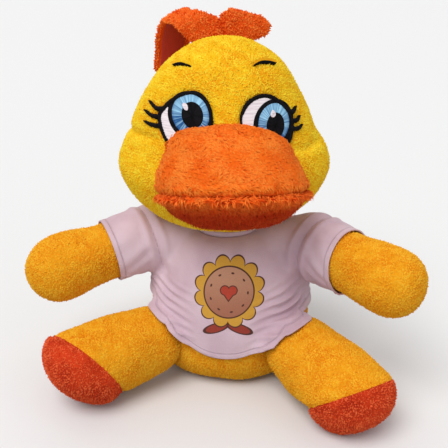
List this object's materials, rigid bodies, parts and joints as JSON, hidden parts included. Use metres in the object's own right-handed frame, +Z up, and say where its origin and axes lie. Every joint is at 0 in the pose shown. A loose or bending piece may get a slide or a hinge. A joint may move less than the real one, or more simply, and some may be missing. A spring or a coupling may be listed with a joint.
{
  "type": "plush chick",
  "caption": "Seated plush chick with a broad padded bill, a folded crest, domed soles and a short-sleeved T-shirt, with floppy limbs, head and crest.",
  "frame": {"origin": "middle of the flat seat under the torso", "axes": "+Z up, the toy looks along -Y, its own left side is +X"},
  "size_m": [0.2284, 0.1451, 0.2143],
  "materials": {
    "yellow_plush": "short, dense, looped plush pile, matt with a soft sheen",
    "orange_plush": "long combed plush pile, soft sheen",
    "crest_plush": "short plush pile, soft sheen",
    "crest_lining": "smooth brushed knit, matt",
    "sole_plush": "short plush pile, soft sheen",
    "white_knit": "fine single-jersey knit, matt",
    "filling": "loose polyester fibre",
    "eye_thread": "satin-stitched embroidery thread, silky"
  },
  "bodies": {
    "torso": {"torso_cover": "yellow_plush", "torso_filling": "filling", "shirt_body": "white_knit", "shirt_neckband": "white_knit"},
    "neck": {"neck_plug": "filling"},
    "head": {"head_cover": "yellow_plush", "head_filling": "filling", "upper_bill_cover": "orange_plush", "upper_bill_filling": "filling", "lower_bill_cover": "orange_plush", "lower_bill_filling": "filling", "left_eye_embroidery": "eye_thread", "right_eye_embroidery": "eye_thread"},
    "left_crest": {"left_crest_plush": "crest_plush", "left_crest_lining": "crest_lining"},
    "right_crest": {"right_crest_plush": "crest_plush", "right_crest_lining": "crest_lining"},
    "left_arm": {"left_arm_cover": "yellow_plush", "left_arm_filling": "filling", "left_sleeve": "white_knit"},
    "left_leg": {"left_leg_cover": "yellow_plush", "left_leg_filling": "filling", "left_sole": "sole_plush"},
    "right_arm": {"right_arm_cover": "yellow_plush", "right_arm_filling": "filling", "right_sleeve": "white_knit"},
    "right_leg": {"right_leg_cover": "yellow_plush", "right_leg_filling": "filling", "right_sole": "sole_plush"}
  },
  "joints": [
    {"name": "head_turn", "type": "hinge", "parent": "torso", "child": "neck", "pos_m": [-0.00149, 0.00019, 0.097], "axis": [0, 0, 1], "range_deg": [-18, 18], "stiffness_Nm_per_rad": 0.3},
    {"name": "head_nod", "type": "hinge", "parent": "neck", "child": "head", "pos_m": [-0.00149, 0.00019, 0.097], "axis": [0.9976, 0.0698, 0], "range_deg": [-6, 10], "stiffness_Nm_per_rad": 0.6},
    {"name": "left_crest_flop", "type": "hinge", "parent": "head", "child": "left_crest", "pos_m": [-0.00449, 0.01696, 0.196], "axis": [0.9976, 0.0698, 0], "range_deg": [-12, 12], "stiffness_Nm_per_rad": 0.01},
    {"name": "right_crest_flop", "type": "hinge", "parent": "head", "child": "right_crest", "pos_m": [-0.00449, 0.01696, 0.196], "axis": [0.9976, 0.0698, 0], "range_deg": [-12, 12], "stiffness_Nm_per_rad": 0.01},
    {"name": "left_arm_lift", "type": "hinge", "parent": "torso", "child": "left_arm", "pos_m": [0.04934, -0.00834, 0.082], "axis": [-0.7349, -0.6782, 0], "range_deg": [-6, 25], "stiffness_Nm_per_rad": 0.25},
    {"name": "left_leg_lift", "type": "hinge", "parent": "torso", "child": "left_leg", "pos_m": [0.04169, -0.03659, 0.026], "axis": [-0.8191, -0.5736, 0], "range_deg": [-25, 18], "stiffness_Nm_per_rad": 0.35},
    {"name": "right_arm_lift", "type": "hinge", "parent": "torso", "child": "right_arm", "pos_m": [-0.04985, 0.00437, 0.082], "axis": [-0.402, 0.9157, 0], "range_deg": [-6, 25], "stiffness_Nm_per_rad": 0.25},
    {"name": "right_leg_lift", "type": "hinge", "parent": "torso", "child": "right_leg", "pos_m": [-0.04957, -0.0249, 0.026], "axis": [-0.5446, 0.8387, 0], "range_deg": [-25, 18], "stiffness_Nm_per_rad": 0.35}
  ]
}
